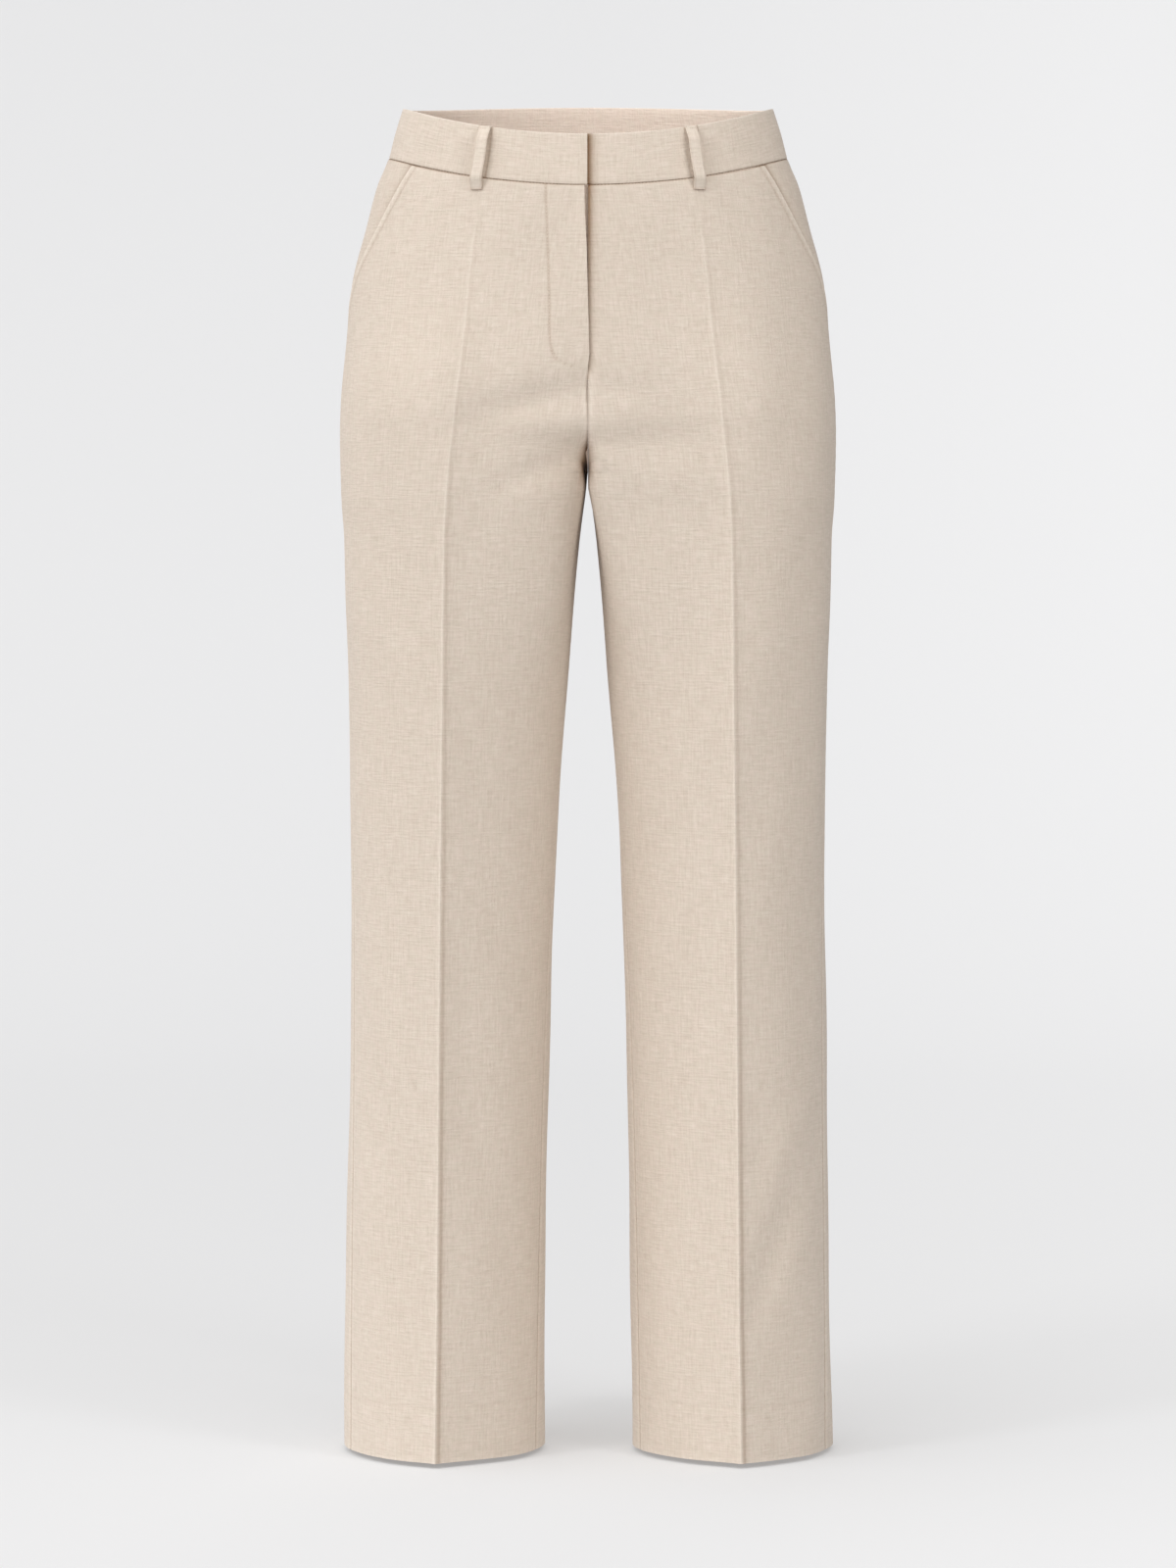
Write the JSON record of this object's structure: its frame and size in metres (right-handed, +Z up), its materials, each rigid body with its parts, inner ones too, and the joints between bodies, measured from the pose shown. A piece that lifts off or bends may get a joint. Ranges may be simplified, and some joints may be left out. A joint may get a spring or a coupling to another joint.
{
  "type": "tailored straight-leg trousers",
  "caption": "Hollow straight-leg trousers with pressed creases, slanted pockets, a covered fly and a waistband with belt loops, filled out as if worn.",
  "frame": {"origin": "centre of the waist opening, level with the top of the waistband at the side seams", "axes": "+Z up the body, -Y the way the front faces, +X towards the wearer's left side"},
  "size_m": [0.386, 0.2353, 1.0511],
  "materials": {
    "linen_cloth": "matt plain-woven linen look with fine slubs",
    "linen_cloth_inside": "matt plain-woven linen look, inner side"
  },
  "bodies": {
    "root": {"front_left": "linen_cloth", "front_right": "linen_cloth", "back_left": "linen_cloth", "back_right": "linen_cloth", "waistband_front_left": "linen_cloth", "waistband_front_right": "linen_cloth", "waistband_back": "linen_cloth", "pocket_facing_left": "linen_cloth", "pocket_facing_right": "linen_cloth", "belt_loop_front_left": "linen_cloth", "belt_loop_front_right": "linen_cloth", "belt_loop_back_left": "linen_cloth", "belt_loop_back_right": "linen_cloth", "belt_loop_back_centre": "linen_cloth", "fly_shield": "linen_cloth_inside"}
  },
  "joints": []
}
